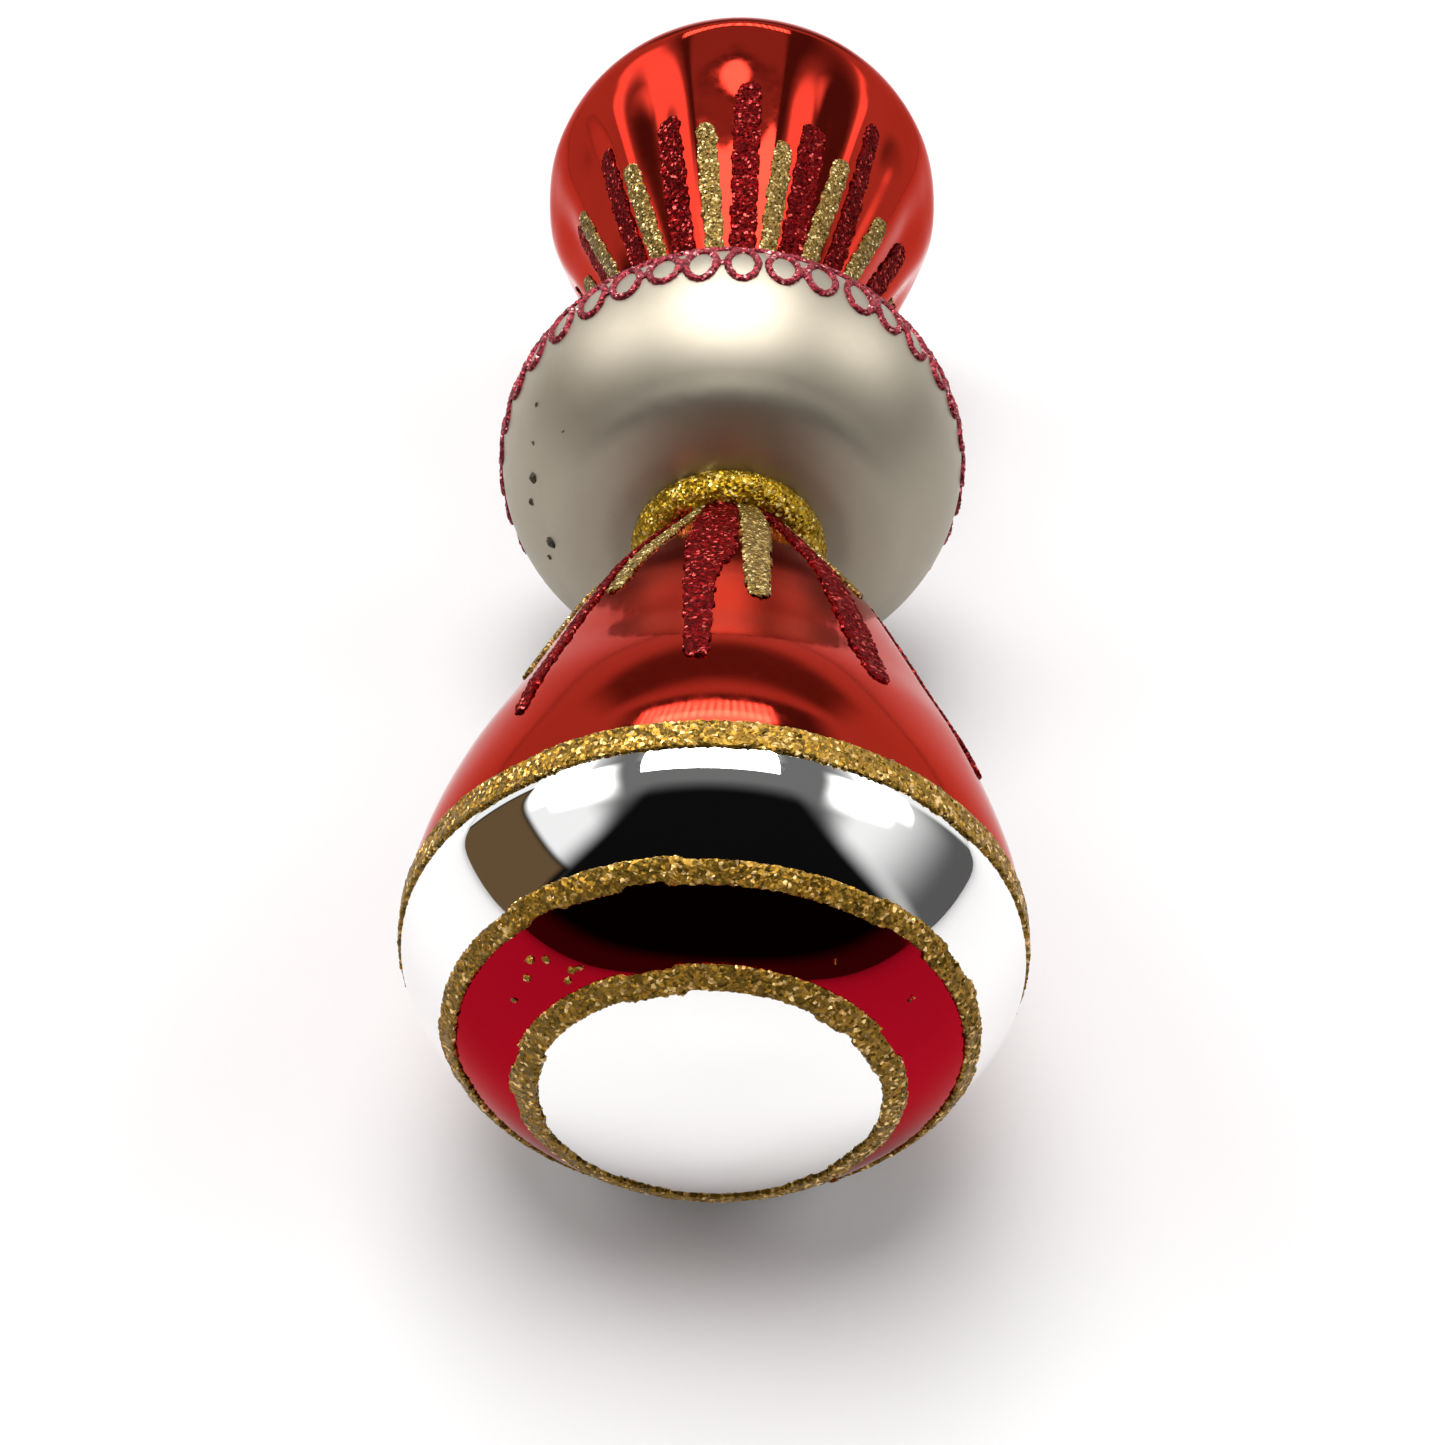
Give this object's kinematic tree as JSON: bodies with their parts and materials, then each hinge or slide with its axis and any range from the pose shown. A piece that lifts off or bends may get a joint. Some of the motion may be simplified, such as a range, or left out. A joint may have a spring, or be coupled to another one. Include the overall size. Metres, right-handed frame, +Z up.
{
  "type": "glass bell ornament",
  "caption": "Blown-glass hanging ornament: two closed bells joined by a ball, with raised glitter rings, collars and drips, and a metal cap with a wire eye.",
  "frame": {"origin": "centre of the bounding box's foot: the ornament lies on its side and both bells' shoulders touch the plane Z = 0", "axes": "+Y along the ornament's axis from the lower bell's closed dome to the wire eye, +Z up from the surface it lies on"},
  "size_m": [0.05, 0.1708, 0.05],
  "materials": {
    "red_mirror_glass": "silvered inside, transparent red lacquer outside, mirror gloss",
    "pearl_glass": "silvered inside, satin champagne pearl lacquer",
    "gold_glitter": "coarse gold glitter in glue",
    "pale_gold_glitter": "fine pale gold glitter in glue",
    "red_glitter": "fine dark red glitter in glue",
    "cap_metal": "thin stamped metal, bright gold tone",
    "hanger_wire": "drawn spring wire"
  },
  "bodies": {
    "glass": {"lower_bell_glass": "red_mirror_glass", "ball_glass": "pearl_glass", "upper_bell_glass": "red_mirror_glass", "centre_glitter_ring": "gold_glitter", "middle_glitter_ring": "gold_glitter", "shoulder_glitter_ring": "gold_glitter", "lower_glitter_collar": "gold_glitter", "upper_glitter_collar": "gold_glitter", "lower_red_drips": "red_glitter", "lower_gold_drips": "pale_gold_glitter", "upper_red_drips": "red_glitter", "upper_gold_drips": "pale_gold_glitter", "ball_loop_band": "red_glitter"},
    "cap": {"cap": "cap_metal"},
    "hanger": {"hanger": "hanger_wire"}
  },
  "joints": [
    {"name": "cap_pull", "type": "slide", "parent": "glass", "child": "cap", "axis": [0, 1, 0], "range_m": [0, 0.022]},
    {"name": "hanger_tilt", "type": "hinge", "parent": "cap", "child": "hanger", "pos_m": [0, 0.07401, 0.025], "axis": [1, 0, 0], "range_deg": [-15, 15]}
  ]
}
